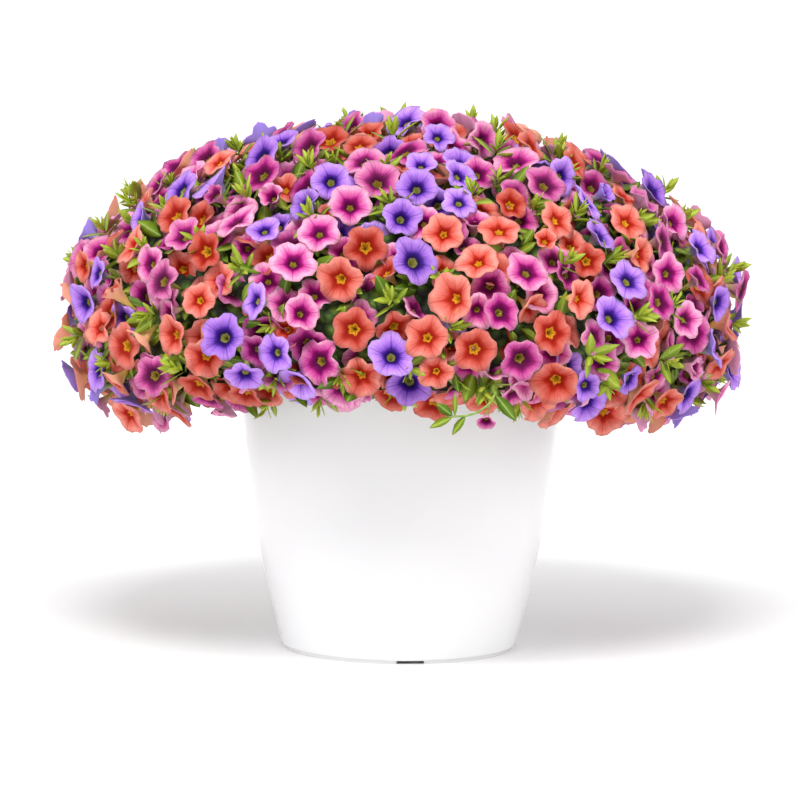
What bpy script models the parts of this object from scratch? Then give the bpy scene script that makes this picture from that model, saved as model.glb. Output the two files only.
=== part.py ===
"""Calibrachoa in a white planter.

Three plants, one violet, one pink and one coral, share one round pot. Their leafy shoots have grown
together into a low dome, the foliage, and their flowering stems run outwards over it from the crown to
the hem, each with open five-lobed blooms. Metres, +Z up, origin on the ground at the pot's centre, and
the front of the pot towards -Y.
"""

import math

import bmesh
import bpy
import numpy as np
from mathutils import Vector
from mathutils.bvhtree import BVHTree

# The planter
POT_HEIGHT = 0.225
POT_BASE_RADIUS = 0.0934
POT_FLARE = 0.2838  # how fast the wall widens at the ground, metres a metre
POT_BELLY = 0.538  # how the wall straightens with height, per metre
POT_WALL = 0.003
POT_SIDES = 28
LIP = 0.0012  # height of the rounding at the rim
OUTER_BENDS = (0.170, 0.115, 0.060)  # heights, top to bottom
INNER_BEND = 0.115
FOOT_HEIGHT = 0.0026
FOOT_WIDTH = 0.0065
FOOT_INSET = 0.0012
FLOOR_TOP = 0.0066
NOTCH_WIDTH = 0.022  # the drain gap in the foot
NOTCH_AZIMUTH = math.radians(-84)
DRAIN_HOLES = 3
DRAIN_RADIUS = 0.006
DRAIN_CIRCLE = 0.050
CUT_MARGIN = 0.002  # by which a cutter runs past the face that it cuts
HOLE_SIDES = 8
SHARP_ANGLE = math.radians(35)

# The potting soil
SOIL_TOP = 0.2075
SEAT_GAP = 0.0003  # between pieces that touch
PLANTS = 3
CROWN_CIRCLE = 0.055  # where they stand
CROWN_RADIUS = 0.006
CROWN_DEPTH = 0.024
CROWN_CLEARANCE = 0.0008

# The dome that the blooms' faces follow
SPREAD_RADIUS = 0.272
WIDEST_HEIGHT = 0.276
CROWN_RISE = 0.153
SKIRT_DROP = 0.084
SKIRT_SQUARENESS = 4  # power in the skirt's curve: it hangs nearly straight and then turns in
SKIRT_END = 0.985  # share of the drop where the curve is left off
HEM_REACH = 0.93  # how far down the skirt's drop the last blooms sit
HEM_SWAY = 0.14  # share of the drop by which the hem lifts at the front and hangs at the sides
LUMPS = ((4, 0.9, 0.009), (6, 2.2, 0.008))  # waves round the dome: how many, phase, share of the radius
LUMP_START = 0.14  # radius where the lumps and the sway set in
LUMP_FULL = 0.22

# Depths under that dome
BLOOM_DEPTH = 0.006
BLOOM_DEPTH_SPREAD = 0.003
STEM_FACE_DEPTH = 0.0225
STEM_RIDGE_DEPTH = 0.0290
FOLIAGE_DEPTH = 0.0298

# Blooms and shoots
SITES = 382
SITE_SEED = 14
SHAKE = 0.16  # random shift of a site, as a share of the distance between neighbours
SPREAD_ROUNDS = 14
SPREAD_REACH = 1.12  # neighbours nearer than this share of that distance push each other away
SPREAD_PUSH = 0.22
CROWN_MARGIN = 0.004
GOLDEN_ANGLE = math.pi * (3 - math.sqrt(5))
SHOOTS = 29
SHOOT_SPACING = 0.078
LIMB_RADIUS = (0.0135, 0.0180)  # the narrowest and the widest bloom
LOBES = 5
NOTCH_SHARE = 0.90
NOTCH_LIFT = 0.09  # how far the lobes bend back from the notches between them
THROAT_SHARE = 0.36
OUTWARD_LEAN = 0.42  # how far blooms on the dome turn from straight out of it to level
LEVEL_RISE = 0.12  # slope of that level: a little upwards
TILT_SPREAD = 0.17
LEAST_BACKING = 0.42  # cosine of the widest angle between a bloom's facing and its stalk's way up to it
FACE_STEP = 0.15
FOOT_SINK = 0.0035
FOOT_STEPS = (0, 0.006, -0.006, 0.011, -0.011, 0.016, -0.016)
BLOOM_CLEARANCE = 0.0004
SHRINK = 0.95  # a bloom that has no room is made smaller by this share, over and over
SHRINKS = 14
BLOOM_REACH = 0.055  # blooms with centres further apart can't touch

# Flowering stems
STEM_PITCH = 0.041  # between neighbouring stems, round the dome
STEM_HALF_WIDTH = 0.005
STEM_SWAY = 0.14  # radians that the stems swing sideways on their way to the hem
SWAY_LENGTH = 0.075  # of the way along a stem for each radian of the sway's wave
LAST_START = 0.2995
SHORTEST_LENGTH = 0.015  # of a stem's first straight length
FOOT_MARGIN = 0.005  # from a stem's ends to its blooms
MINGLE = 0.016  # how much further off the stem may be that takes a bloom
STEM_ROWS = (0.012, 0.080, 0.148, 0.212, 0.268, 0.316, 0.356, 0.392, 0.424)
COLOUR_SHARES = {"violet": 0.27, "pink": 0.37, "coral": 0.36}

# Foliage
FOLIAGE_SIDES = 24
UNDERSIDE = ((0.175, 0.2265), (0.1350, 0.2265), (0.1345, 0.2290), (0.1215, 0.2290))
PLUG_RADIUS = 0.118
NECK_ROOT = 0.010  # how far the root necks run up into the mass
LEAVES_A_SHOOT = 4
SHOOT_TRIES = 90
SHOOT_STEP = (0.005, 0.017)  # from a shoot's middle to its leaves: they move out until there is room
LEAF_LEAN = (0.06, 0.36)
LEAF_LENGTH = 0.040  # with the root that is sunk in the mass
LEAF_SINK = 0.010
LEAF_HALF_WIDTH = 0.0042
LEAF_KEEL = 0.0020
LEAF_WIDEST = 0.55
LEAF_DROOP = 0.12
LEAF_CLEARANCE = 0.0006

COLOURS = {
    "pot": ((0.90, 0.90, 0.91), 0.12),
    "soil": ((0.055, 0.035, 0.024), 0.95),
    "foliage": ((0.16, 0.30, 0.05), 0.55),
    "violet": ((0.27, 0.14, 0.80), 0.50),
    "pink": ((0.68, 0.13, 0.42), 0.50),
    "coral": ((0.83, 0.14, 0.08), 0.50),
}


def clear_scene():
    for thing in list(bpy.data.objects):
        bpy.data.objects.remove(thing)


def collection(name):
    made = bpy.data.collections.new(name)
    bpy.context.scene.collection.children.link(made)
    return made


def material(name):
    colour, roughness = COLOURS[name]
    made = bpy.data.materials.new(name)
    made.use_nodes = True
    shader = made.node_tree.nodes["Principled BSDF"]
    shader.inputs["Base Color"].default_value = (*colour, 1.0)
    shader.inputs["Roughness"].default_value = roughness
    made.diffuse_color = (*colour, 1.0)
    return made


def new_object(name, mesh, home, finish=None):
    made = bpy.data.objects.new(name, mesh)
    home.objects.link(made)
    if finish:
        mesh.materials.append(finish)
    return made


def mesh_of(name, points, faces):
    """A closed mesh of the given corners and faces, with its faces turned outwards."""
    form = bmesh.new()
    corners = [form.verts.new(p) for p in points]
    for face in faces:
        form.faces.new([corners[i] for i in face])
    bmesh.ops.recalc_face_normals(form, faces=form.faces)
    made = bpy.data.meshes.new(name)
    form.to_mesh(made)
    form.free()
    return made


def baked(thing):
    """The object's own mesh with its modifiers applied."""
    bpy.context.view_layer.update()
    seen = thing.evaluated_get(bpy.context.evaluated_depsgraph_get())
    made = bpy.data.meshes.new_from_object(seen)
    thing.modifiers.clear()
    thing.data = made
    return thing


def turned(name, profile, sides, home, finish=None):
    """A solid of revolution round Z from (radius, height) points that run down its outer side."""
    line = bpy.data.meshes.new(name)
    points = [(radius, 0, height) for radius, height in profile]
    ends_on_axis = profile[0][0] == 0 and profile[-1][0] == 0
    edges = [(i, i + 1) for i in range(len(points) - 1)]
    if not ends_on_axis:
        edges.append((len(points) - 1, 0))
    line.from_pydata(points, edges, [])
    made = new_object(name, line, home, finish)
    screw = made.modifiers.new("turn", "SCREW")
    screw.steps = sides
    screw.render_steps = sides
    screw.use_merge_vertices = True
    screw.merge_threshold = 0.00005
    return baked(made)


def union(thing, extras):
    """Joins every object of a collection to one object, and removes them."""
    if not extras.objects:
        return thing
    join = thing.modifiers.new("join", "BOOLEAN")
    join.operation = "UNION"
    join.operand_type = "COLLECTION"
    join.collection = extras
    join.solver = "MANIFOLD"
    baked(thing)
    for extra in list(extras.objects):
        bpy.data.objects.remove(extra)
    bpy.data.collections.remove(extras)
    return only_outer_skin(thing)


def only_outer_skin(thing):
    """Drops every closed skin but the one of most vertices: the rest are sealed hollows and scraps."""
    form = bmesh.new()
    form.from_mesh(thing.data)
    left = set(form.verts)
    skins = []
    while left:
        start = left.pop()
        skin, edge = [start], [start]
        while edge:
            for side in edge.pop().link_edges:
                for near in side.verts:
                    if near in left:
                        left.remove(near)
                        skin.append(near)
                        edge.append(near)
        skins.append(skin)
    skins.sort(key=len)
    for skin in skins[:-1]:
        bmesh.ops.delete(form, geom=skin, context="VERTS")
    form.to_mesh(thing.data)
    form.free()
    return thing


def cut(thing, cutters):
    """Cuts every cutter out of one object."""
    for cutter in cutters:
        bite = thing.modifiers.new("cut", "BOOLEAN")
        bite.operation = "DIFFERENCE"
        bite.object = cutter
        bite.solver = "EXACT"
    return thing


def post(radius, low, high, at, home):
    """An upright post from one height to another."""
    bpy.ops.mesh.primitive_cylinder_add(
        vertices=HOLE_SIDES, radius=radius, depth=high - low, location=(*at, (low + high) / 2)
    )
    return moved(bpy.context.object, home)


def moved(made, home):
    """Takes an object out of the collection it was made in."""
    for old in list(made.users_collection):
        old.objects.unlink(made)
    home.objects.link(made)
    return made


def as_cutter(made, name):
    made.name = name
    made.hide_render = True
    made.display_type = "WIRE"
    return made


def on_circle(radius, azimuth):
    return radius * math.cos(azimuth), radius * math.sin(azimuth)


# The planter


def pot_radius(height):
    return POT_BASE_RADIUS + POT_FLARE * height - POT_BELLY * height**2


def inner_radius(height):
    """The inner wall: straight from the floor to its one bend, and from there to the lip."""
    bends = (FLOOR_TOP, INNER_BEND, POT_HEIGHT - LIP)
    return float(np.interp(height, bends, [pot_radius(bend) - POT_WALL for bend in bends]))


def build_pot(home, cutters):
    """A one-piece moulded shell on a low foot, with a drain gap in the foot and holes in the floor."""
    rim = pot_radius(POT_HEIGHT)
    foot = POT_BASE_RADIUS - FOOT_INSET
    taper = 0.0004
    profile = [
        (rim - POT_WALL, POT_HEIGHT - LIP),
        (rim - POT_WALL / 2, POT_HEIGHT),
        (rim, POT_HEIGHT - LIP),
        *((pot_radius(h), h) for h in OUTER_BENDS),
        (pot_radius(FOOT_HEIGHT + LIP), FOOT_HEIGHT + LIP),
        (foot, FOOT_HEIGHT),
        (foot - taper, 0),
        (foot - FOOT_WIDTH, 0),
        (foot - FOOT_WIDTH - taper, FOOT_HEIGHT),
        (0, FOOT_HEIGHT),
        (0, FLOOR_TOP),
        (inner_radius(FLOOR_TOP), FLOOR_TOP),
        (inner_radius(INNER_BEND), INNER_BEND),
    ]
    pot = turned("pot", profile, POT_SIDES, home, material("pot"))
    low, high = -CUT_MARGIN, FOOT_HEIGHT - SEAT_GAP
    x, y = on_circle(foot - FOOT_WIDTH / 2, NOTCH_AZIMUTH)
    bpy.ops.mesh.primitive_cube_add(size=1, location=(x, y, (low + high) / 2))
    notch = as_cutter(moved(bpy.context.object, cutters), "drain_notch")
    notch.scale = (FOOT_WIDTH + 2 * CUT_MARGIN, NOTCH_WIDTH, high - low)
    notch.rotation_euler.z = NOTCH_AZIMUTH
    holes = []
    for i in range(DRAIN_HOLES):
        at = on_circle(DRAIN_CIRCLE, math.tau * (i + 0.5) / DRAIN_HOLES)
        hole = post(DRAIN_RADIUS, -CUT_MARGIN, FLOOR_TOP + CUT_MARGIN, at, cutters)
        holes.append(as_cutter(hole, f"drain_hole_{i + 1}"))
    return cut(pot, [notch, *holes])


def crown_places():
    return [on_circle(CROWN_CIRCLE, math.tau * (0.25 + i / PLANTS)) for i in range(PLANTS)]


def build_soil(home, cutters):
    """The soil fills the pot to under its rim, with a plain hole for each plant's root neck."""
    profile = [
        (0, SOIL_TOP),
        (inner_radius(SOIL_TOP) - SEAT_GAP * 2, SOIL_TOP),
        (inner_radius(INNER_BEND) - SEAT_GAP * 2, INNER_BEND),
        (inner_radius(FLOOR_TOP) - SEAT_GAP * 2, FLOOR_TOP + SEAT_GAP),
        (0, FLOOR_TOP + SEAT_GAP),
    ]
    soil = turned("soil", profile, POT_SIDES, home, material("soil"))
    low = SOIL_TOP - CROWN_DEPTH - CROWN_CLEARANCE
    holes = []
    for i, at in enumerate(crown_places()):
        hole = post(CROWN_RADIUS + CROWN_CLEARANCE, low, SOIL_TOP + CUT_MARGIN, at, cutters)
        holes.append(as_cutter(hole, f"root_hole_{i + 1}"))
    return cut(soil, holes)


# The dome


def meridian():
    """Distance along the dome from its crown, radius and height, for a section through its axis."""
    turn = np.linspace(0, math.pi / 2, 240)
    down = np.linspace(0, SKIRT_END, 240)[1:]
    tuck = (1 - down**SKIRT_SQUARENESS) ** (1 / SKIRT_SQUARENESS)
    radius = SPREAD_RADIUS * np.concatenate([np.sin(turn), tuck])
    rise = np.concatenate([CROWN_RISE * np.cos(turn), -SKIRT_DROP * down])
    height = WIDEST_HEIGHT + rise
    steps = np.hypot(np.diff(radius), np.diff(height))
    along = np.concatenate([[0], np.cumsum(steps)])
    return along, radius, height


ALONG, RADIUS, HEIGHT = meridian()
HEM = float(np.interp(WIDEST_HEIGHT - HEM_REACH * SKIRT_DROP, HEIGHT[::-1], ALONG[::-1]))


def section(along, depth):
    """Radius and height at a distance along the meridian, at a depth under it, and the outward slope."""
    step = 0.004
    radius = np.interp(along, ALONG, RADIUS)
    height = np.interp(along, ALONG, HEIGHT)
    dr = np.interp(along + step, ALONG, RADIUS) - np.interp(along - step, ALONG, RADIUS)
    dz = np.interp(along + step, ALONG, HEIGHT) - np.interp(along - step, ALONG, HEIGHT)
    length = np.hypot(dr, dz)
    out, up = -dz / length, dr / length
    return radius - depth * out, height - depth * up, out, up


def settled(radius, height, azimuth):
    """The dome as it really hangs: lumps round it, and a hem that lifts at the front and the back."""
    away = np.clip((radius - LUMP_START) / (LUMP_FULL - LUMP_START), 0, 1)
    below = np.clip(WIDEST_HEIGHT - height, 0, None)
    height = height - away * below * HEM_SWAY * np.cos(2 * azimuth)
    swell = sum(size * np.sin(count * azimuth + phase) for count, phase, size in LUMPS)
    radius = radius * (1 + away * swell)
    return np.stack([radius * np.cos(azimuth), radius * np.sin(azimuth), height], axis=-1)


def on_dome(along, azimuth, depth):
    radius, height, _, _ = section(np.asarray(along, float), depth)
    return settled(radius, height, np.asarray(azimuth, float))


def outward(along, azimuth):
    _, _, out, up = section(np.asarray(along, float), 0)
    return np.stack([out * np.cos(azimuth), out * np.sin(azimuth), up + 0 * azimuth], axis=-1)


def unit(vectors):
    return vectors / np.linalg.norm(vectors, axis=-1, keepdims=True)


def site_places():
    """Sites over the dome by the golden angle at equal areas, shaken a little and then pushed apart."""
    rng = np.random.default_rng(SITE_SEED)
    area = np.concatenate([[0], np.cumsum((RADIUS[1:] + RADIUS[:-1]) / 2 * np.diff(ALONG))])
    whole = np.interp(HEM, ALONG, area)
    index = np.arange(SITES)
    along = np.interp((index + 0.5) / SITES * whole, area, ALONG)
    azimuth = index * GOLDEN_ANGLE
    pitch = math.sqrt(math.tau * whole / SITES * 2 / math.sqrt(3))
    radius = np.interp(along, ALONG, RADIUS)
    along = along + rng.normal(0, SHAKE * pitch, SITES)
    azimuth = azimuth + rng.normal(0, SHAKE * pitch, SITES) / radius
    for _ in range(SPREAD_ROUNDS):
        along = np.clip(along, CROWN_MARGIN, HEM)
        radius = np.interp(along, ALONG, RADIUS)
        place = on_dome(along, azimuth, 0)
        apart = place[:, None] - place[None]
        distance = np.linalg.norm(apart, axis=-1) + np.eye(SITES)
        push = np.clip(SPREAD_REACH * pitch - distance, 0, None) / distance
        np.fill_diagonal(push, 0)
        shift = SPREAD_PUSH * (push[..., None] * apart).sum(1)
        round_way = np.stack([-np.sin(azimuth), np.cos(azimuth), 0 * azimuth], axis=-1)
        down_way = np.cross(round_way, outward(along, azimuth))
        along = along + (shift * down_way).sum(1)
        azimuth = azimuth + (shift * round_way).sum(1) / radius
    return np.clip(along, CROWN_MARGIN, HEM), np.mod(azimuth, math.tau)


def site_faces(along, azimuth):
    """Where each site's bloom looks: out of the dome, leaning to level, and tilted a little at random."""
    rng = np.random.default_rng(SITE_SEED + 1)
    level = np.stack([np.cos(azimuth), np.sin(azimuth), LEVEL_RISE + 0 * azimuth], axis=-1)
    face = (1 - OUTWARD_LEAN) * outward(along, azimuth) + OUTWARD_LEAN * level
    return unit(unit(face) + rng.normal(0, TILT_SPREAD, face.shape))


def shoot_sites(centre):
    """Sites that grow a leafy shoot in place of a bloom, drawn at random with a least distance apart."""
    rng = np.random.default_rng(SITE_SEED + 4)
    shoot = np.zeros(len(centre), bool)
    for i in rng.permutation(len(centre)):
        far = np.linalg.norm(centre[shoot] - centre[i], axis=-1) > SHOOT_SPACING
        if shoot.sum() < SHOOTS and far.all():
            shoot[i] = True
    return shoot


def build_sites():
    """Every site: its place on the dome, its bloom's centre, radius and facing, and which are shoots."""
    rng = np.random.default_rng(SITE_SEED + 2)
    along, azimuth = site_places()
    depth = BLOOM_DEPTH + rng.uniform(-1, 1, SITES) * BLOOM_DEPTH_SPREAD
    centre = on_dome(along, azimuth, depth)
    apart = np.linalg.norm(centre[:, None] - centre[None], axis=-1) + np.eye(SITES)
    radius = np.clip(apart.min(1) / 2 - BLOOM_CLEARANCE, *LIMB_RADIUS)
    return {
        "along": along,
        "azimuth": azimuth,
        "centre": centre,
        "face": site_faces(along, azimuth),
        "radius": radius,
        "spin": rng.uniform(0, math.tau, SITES),
        "shoot": shoot_sites(centre),
    }


# The flowering stems


def stem_starts():
    """Each stem's azimuth and where it starts: a new one joins wherever the ring has room for one more."""
    count = int(math.tau * SPREAD_RADIUS / STEM_PITCH)
    needed = (np.arange(count) + 1) * STEM_PITCH / math.tau
    widest = int(np.argmax(RADIUS))
    start = np.interp(needed, RADIUS[: widest + 1], ALONG[: widest + 1])
    return np.arange(count) * GOLDEN_ANGLE, np.minimum(start, LAST_START)


def swing(along):
    """How far the stems have swung sideways at a distance along the dome, in radians."""
    return STEM_SWAY * np.sin(np.asarray(along) / SWAY_LENGTH)


def gap_between(a, b):
    return np.abs(np.mod(a - b + math.pi, math.tau) - math.pi)


def stem_colours(azimuths):
    """Each new stem takes the colour most wanted among those that its two neighbours don't have."""
    chosen, count = [], dict.fromkeys(COLOUR_SHARES, 0)
    for i, azimuth in enumerate(azimuths):
        near = np.argsort(gap_between(azimuths[:i], azimuth))[:2]
        taken = {chosen[k] for k in near}
        free = [c for c in COLOUR_SHARES if c not in taken] or list(COLOUR_SHARES)
        best = min(free, key=lambda c: (count[c] + 1) / COLOUR_SHARES[c])
        chosen.append(best)
        count[best] += 1
    return chosen


def near_stem(along, azimuth, stems, starts, draw):
    """The stem that passes nearest to a place, or at times the next one if it passes nearly as near, so
    that neighbouring colours mingle. Draw is a random number from 0 to 1."""
    radius = np.interp(along, ALONG, RADIUS)
    sideways = radius * gap_between(stems + swing(along), azimuth)
    before = np.clip(starts - along, 0, None)
    distance = np.hypot(sideways, 1.5 * before)
    first, second = np.argsort(distance)[:2]
    return int(second if distance[second] < distance[first] + draw * MINGLE else first)


def stem_rows(start):
    rows = [s for s in STEM_ROWS if s > start]
    if rows[0] - start > SHORTEST_LENGTH:
        rows = [start, *rows]
    return rows


def stem_mesh(azimuth, rows, dip):
    """A three-sided stem with its flat side out, in straight lengths between the rows of the foliage.
    Its start dips by a length towards the foliage, as a shoot leaves its branch."""
    points, faces = [], []
    for row, along in enumerate(rows):
        middle = azimuth + swing(along)
        radius = section(along, STEM_FACE_DEPTH)[0]
        half = STEM_HALF_WIDTH / max(radius, STEM_ROWS[0])
        points += [
            on_dome(along, middle - half, STEM_FACE_DEPTH),
            on_dome(along, middle + half, STEM_FACE_DEPTH),
            on_dome(along, middle, STEM_RIDGE_DEPTH + (0 if row else dip)),
        ]
    for ring in range(len(rows) - 1):
        a = 3 * ring
        for k in range(3):
            n = (k + 1) % 3
            faces += [(a + k, a + n, a + 3 + n), (a + k, a + 3 + n, a + 3 + k)]
    last = 3 * (len(rows) - 1)
    faces += [(0, 1, 2), (last, last + 1, last + 2)]
    return mesh_of("stem", points, faces)


def seated_stem(azimuth, start, mass):
    """A stem whose start comes as near to the foliage's mass as it can lie clear of it."""
    rows = stem_rows(start)
    edge = Vector(on_dome(rows[0], azimuth + swing(rows[0]), STEM_RIDGE_DEPTH))
    inwards = -Vector(outward(rows[0], azimuth + swing(rows[0])))
    gap = mass.ray_cast(edge, inwards)[3] or 0
    for share in (1, 0.8, 0.6, 0.4, 0.2, 0):
        stem = stem_mesh(azimuth, rows, share * max(gap - SEAT_GAP, 0))
        if not tree_of([stem]).overlap(mass):
            break
    return stem, rows


def foot_place(along, azimuth, rows):
    """Where a bloom's stalk roots: on the middle of its stem, as near to this place as the stem reaches."""
    at = float(np.clip(along, rows[0] + FOOT_MARGIN, rows[-1] - FOOT_MARGIN))
    ring = int(np.searchsorted(rows, at)) - 1
    part = (at - rows[ring]) / (rows[ring + 1] - rows[ring])
    ends = [on_dome(rows[k], azimuth + swing(rows[k]), STEM_FACE_DEPTH) for k in (ring, ring + 1)]
    return ends[0] + (ends[1] - ends[0]) * part, outward(at, azimuth + swing(at))


def across_frame(face, spin):
    """Two directions square to a facing, turned round it by spin."""
    helper = np.array([0.0, 0.0, 1.0]) if abs(face[2]) < 0.9 else np.array([1.0, 0.0, 0.0])
    side = unit(np.cross(helper, face))
    other = np.cross(face, side)
    return (
        side * math.cos(spin) + other * math.sin(spin),
        other * math.cos(spin) - side * math.sin(spin),
    )


def turned_away(face, centre, foot):
    """A facing that is turned away from the foot until the foot lies well behind the bloom's face."""
    away = unit(centre - foot)
    while face @ away < LEAST_BACKING:
        face = unit(face + FACE_STEP * away)
    return face


def bloom_mesh(centre, face, radius, spin, foot, foot_out):
    """A funnel: a rim of lobes and notches round a hollow face, and a five-sided back drawn down to a
    stalk whose point is sunk in the stem."""
    face = turned_away(face, centre, foot)
    side, other = across_frame(face, spin)
    count = 2 * LOBES
    rim = []
    for k in range(count):
        turn = math.tau * k / count
        reach = radius * (NOTCH_SHARE if k % 2 else 1.0)
        lift = NOTCH_LIFT * radius * (k % 2)
        rim.append(centre + reach * (side * math.cos(turn) + other * math.sin(turn)) + lift * face)
    throat = centre + THROAT_SHARE * (foot - centre)
    root = foot - FOOT_SINK * foot_out
    faces = []
    for k in range(count):
        faces.append((k, (k + 1) % count, count))
    for k in range(0, count, 2):
        n = (k + 2) % count
        faces.append((k, k + 1, n))
        faces.append((k, n, count + 1))
    return mesh_of("bloom", [*rim, throat, root], faces)


def tree_of(meshes):
    """All faces of some meshes as one search tree, which tells what they cross."""
    points, faces = [], []
    for mesh in meshes:
        first = len(points)
        points += [v.co.copy() for v in mesh.vertices]
        faces += [[first + i for i in p.vertices] for p in mesh.polygons]
    return BVHTree.FromPolygons(points, faces)


def open_bloom(site, stem, others):
    """The widest bloom at a site that is clear of others, with its foot where it crosses no bloom of its
    own stem if there is such a place. Each of others is a solid as a search tree."""
    azimuth, rows, own = stem
    along, centre, face, spin, radius = site
    for _ in range(SHRINKS):
        fallback = None
        for step in FOOT_STEPS:
            foot, foot_out = foot_place(along + step, azimuth, rows)
            tree = tree_of([bloom_mesh(centre, face, radius + BLOOM_CLEARANCE, spin, foot, foot_out)])
            if any(tree.overlap(other) for other in others):
                continue
            found = (bloom_mesh(centre, face, radius, spin, foot, foot_out), tree)
            if not any(tree.overlap(other) for other in own):
                return found
            fallback = fallback or found
        if fallback:
            return fallback
        radius *= SHRINK
    return None


def build_stems(sites, mass, home):
    """Every flowering stem with its blooms, as one solid a stem. A bloom opens only as far as it is clear
    of the stems already built."""
    azimuths, starts = stem_starts()
    colours = stem_colours(azimuths)
    finishes = {c: material(c) for c in COLOUR_SHARES}
    bare = [seated_stem(azimuth, start, mass) for azimuth, start in zip(azimuths, starts)]
    stem_trees = [tree_of([mesh]) for mesh, _ in bare]
    placed = [[] for _ in azimuths]
    draws = np.random.default_rng(SITE_SEED + 5).random(SITES)
    for i in np.flatnonzero(~sites["shoot"]):
        along, azimuth, centre = sites["along"][i], sites["azimuth"][i], sites["centre"][i]
        k = near_stem(along, azimuth, azimuths, starts, draws[i])
        others = [tree for other, tree in enumerate(stem_trees) if other != k]
        for other, entries in enumerate(placed):
            if other != k:
                others += [tree for at, tree, _ in entries if np.linalg.norm(at - centre) < BLOOM_REACH]
        own = [tree for _, tree, _ in placed[k]]
        site = (along, centre, sites["face"][i], sites["spin"][i], sites["radius"][i])
        found = open_bloom(site, (azimuths[k], bare[k][1], own), others)
        if found:
            placed[k].append((centre, found[1], found[0]))
    number = dict.fromkeys(COLOUR_SHARES, 0)
    stems = []
    for k, entries in enumerate(placed):
        colour = colours[k]
        number[colour] += 1
        stem = new_object(f"{colour}_stem_{number[colour]:02d}", bare[k][0], home, finishes[colour])
        extras = collection("blooms")
        for _, _, mesh in entries:
            new_object("bloom", mesh, extras)
        stems.append(union(stem, extras))
    print("blooms", sum(len(entries) for entries in placed))
    return stems


# The foliage


def leaf_mesh(root, way, broad, length, room=0.0):
    """A lance-shaped blade: pointed at both ends, widest past the middle, with a keel behind and a tip
    that droops. Room is added to its length, half width and keel."""
    under = unit(np.cross(way, broad))
    length = length + room
    half_width, keel = LEAF_HALF_WIDTH + room, LEAF_KEEL + room
    middle = root + LEAF_WIDEST * length * way
    points = [
        root,
        middle - half_width * broad,
        middle + half_width * broad,
        middle + keel * under,
        root + length * way + LEAF_DROOP * length * under,
    ]
    faces = [(0, 1, 2), (0, 2, 3), (0, 3, 1), (4, 1, 2), (4, 2, 3), (4, 3, 1)]
    return mesh_of("leaf", points, faces)


def build_mass(home):
    """The dense middle of the three plants: it stands on the soil in three root necks and folds over
    the rim."""
    outer = [section(s, FOLIAGE_DEPTH)[:2] for s in STEM_ROWS]
    profile = [
        (0, float(section(0.0, FOLIAGE_DEPTH)[1])),
        *((float(r), float(z)) for r, z in outer[1:]),
        *UNDERSIDE,
        (PLUG_RADIUS, SOIL_TOP + SEAT_GAP),
        (0, SOIL_TOP + SEAT_GAP),
    ]
    foliage = turned("foliage", profile, FOLIAGE_SIDES, home, material("foliage"))
    points = np.array([v.co for v in foliage.data.vertices])
    radius = np.hypot(points[:, 0], points[:, 1])
    azimuth = np.arctan2(points[:, 1], points[:, 0])
    points = settled(radius, points[:, 2], azimuth)
    foliage.data.vertices.foreach_set("co", points.astype(np.float32).ravel())
    necks = collection("root_necks")
    for at in crown_places():
        post(CROWN_RADIUS, SOIL_TOP - CROWN_DEPTH, SOIL_TOP + NECK_ROOT, at, necks)
    return union(foliage, necks)


def grow_leaves(foliage, sites, stems):
    """Leaves that stand out of the mass in tufts, where a shoot takes a bloom's place."""
    taken = tree_of([stem.data for stem in stems])
    leaves = collection("leaves")
    grown = []
    rng = np.random.default_rng(SITE_SEED + 3)

    def try_leaf(along, azimuth, lean, turn, length):
        """Adds a leaf rooted under one place if it is clear of every stem, bloom and other leaf."""
        out = outward(along, azimuth)
        round_way, up_way = across_frame(out, 0.0)
        lean_way = round_way * math.sin(turn) - up_way * math.cos(turn)
        way = unit(out + math.tan(lean) * lean_way)
        broad = across_frame(way, turn)[0]
        root = on_dome(along, azimuth, FOLIAGE_DEPTH) - LEAF_SINK * way
        tree = tree_of([leaf_mesh(root, way, broad, length, LEAF_CLEARANCE)])
        if tree.overlap(taken) or any(tree.overlap(other) for other in grown):
            return False
        grown.append(tree)
        new_object("leaf", leaf_mesh(root, way, broad, length), leaves)
        return True

    for i in np.flatnonzero(sites["shoot"]):
        made = 0
        for attempt in range(SHOOT_TRIES):
            turn = math.tau * made / LEAVES_A_SHOOT + rng.uniform(-0.7, 0.7)
            lean = rng.uniform(*LEAF_LEAN)
            step = np.interp(attempt / SHOOT_TRIES, (0, 1), SHOOT_STEP)
            along = min(sites["along"][i] + step * math.cos(turn), STEM_ROWS[-1] - FOOT_MARGIN)
            azimuth = sites["azimuth"][i] + step * math.sin(turn) / float(np.interp(along, ALONG, RADIUS))
            made += try_leaf(along, azimuth, lean, turn, LEAF_LENGTH * rng.uniform(0.9, 1.15))
            if made == LEAVES_A_SHOOT:
                break
    return union(foliage, leaves)


def main():
    clear_scene()
    home = collection("calibrachoa")
    cutters = collection("cutters")
    pot = build_pot(home, cutters)
    pot.data.shade_smooth()
    pot.data.set_sharp_from_angle(angle=SHARP_ANGLE)
    build_soil(home, cutters)
    foliage = build_mass(home)
    sites = build_sites()
    stems = build_stems(sites, tree_of([foliage.data]), home)
    grow_leaves(foliage, sites, stems)


main()
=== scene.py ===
"""The finished look of a calibrachoa in a white planter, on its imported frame.

Metres, +Z up, the front of the pot towards -Y. Every piece is placed from the dome that the CAD model's
blooms follow.
"""
import math

import bpy
import numpy as np
from mathutils import Matrix


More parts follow.
